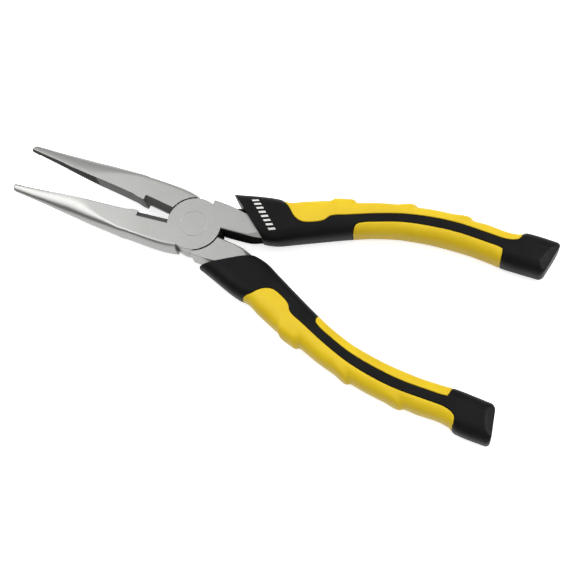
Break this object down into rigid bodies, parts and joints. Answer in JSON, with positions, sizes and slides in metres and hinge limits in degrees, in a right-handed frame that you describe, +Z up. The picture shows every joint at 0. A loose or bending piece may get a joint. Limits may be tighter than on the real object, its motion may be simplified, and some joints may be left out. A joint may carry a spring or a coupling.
{
  "type": "needle nose pliers",
  "caption": "Long nose pliers with side cutter: two steel halves cross in a riveted lap joint and carry black handles with soft yellow inlays.",
  "frame": {"origin": "on the pivot axis, at the joint's underside", "axes": "+Z up along the pivot axis, out of the joint's upper face; +X from the nose to the handles, midway between the two halves"},
  "size_m": [0.2028, 0.078, 0.0131],
  "materials": {
    "steel": "satin ground forged steel",
    "black_plastic": "fine textured, slightly glossy",
    "yellow_rubber": "smooth satin soft grip"
  },
  "bodies": {
    "front": {"front_half": "steel", "pivot_rivet": "steel", "front_grip_core": "black_plastic", "front_outer_inlay": "yellow_rubber", "front_inner_inlay": "yellow_rubber"},
    "rear": {"rear_half": "steel", "rear_grip_core": "black_plastic", "rear_outer_inlay": "yellow_rubber", "rear_inner_inlay": "yellow_rubber"}
  },
  "joints": [
    {"name": "pivot", "type": "hinge", "parent": "front", "child": "rear", "pos_m": [0, 0, 0.00475], "axis": [0, 0, 1], "range_deg": [-30, 11.5]}
  ]
}
